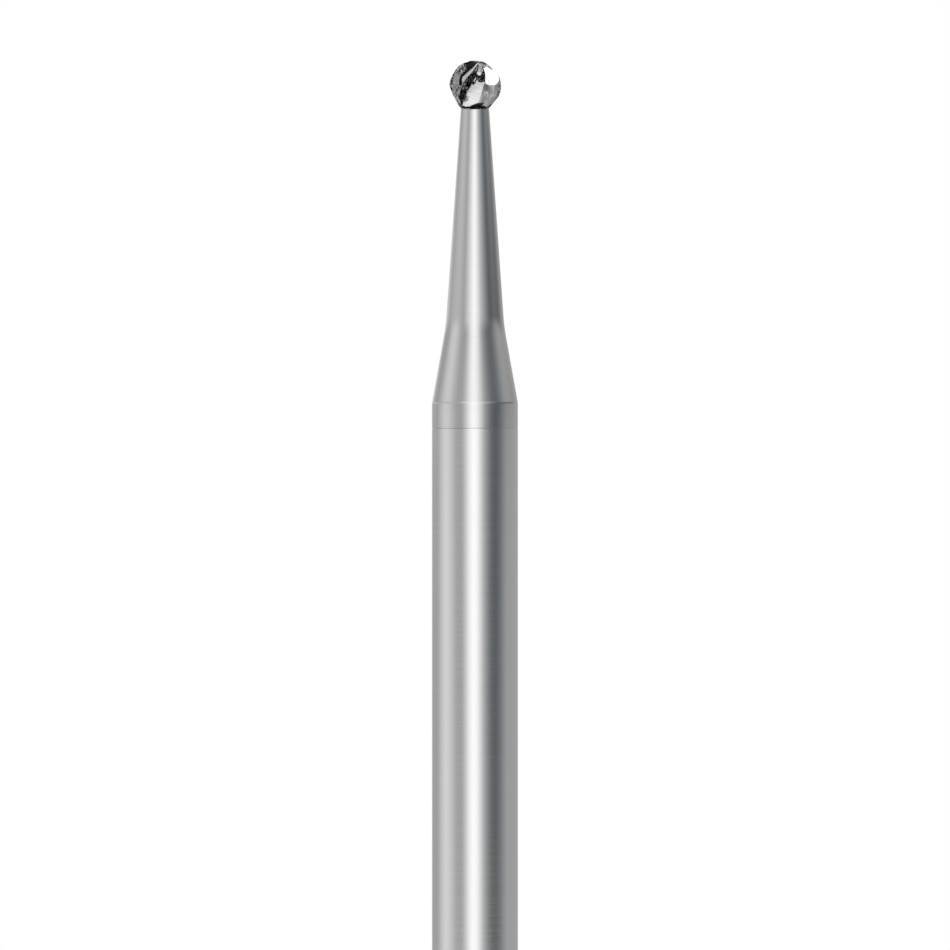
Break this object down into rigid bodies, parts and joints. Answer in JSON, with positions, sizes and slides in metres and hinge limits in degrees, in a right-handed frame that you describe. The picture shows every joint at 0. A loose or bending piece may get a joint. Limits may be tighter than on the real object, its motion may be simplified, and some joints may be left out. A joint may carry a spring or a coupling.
{
  "type": "carbide burr",
  "caption": "Small round carbide burr with helical flutes on a slender tapered neck, brazed to a straight steel shank for a rotary handpiece.",
  "frame": {"origin": "centre of the flat end of the shank", "axes": "+Z along the tool's axis, from the shank's end towards the fluted ball; -Y is the side that faces the viewer"},
  "size_m": [0.0024, 0.0024, 0.0445],
  "materials": {
    "carbide": "ground",
    "steel": "fine ground and polished"
  },
  "bodies": {
    "root": {"carbide_head": "carbide", "steel_shank": "steel"}
  },
  "joints": []
}
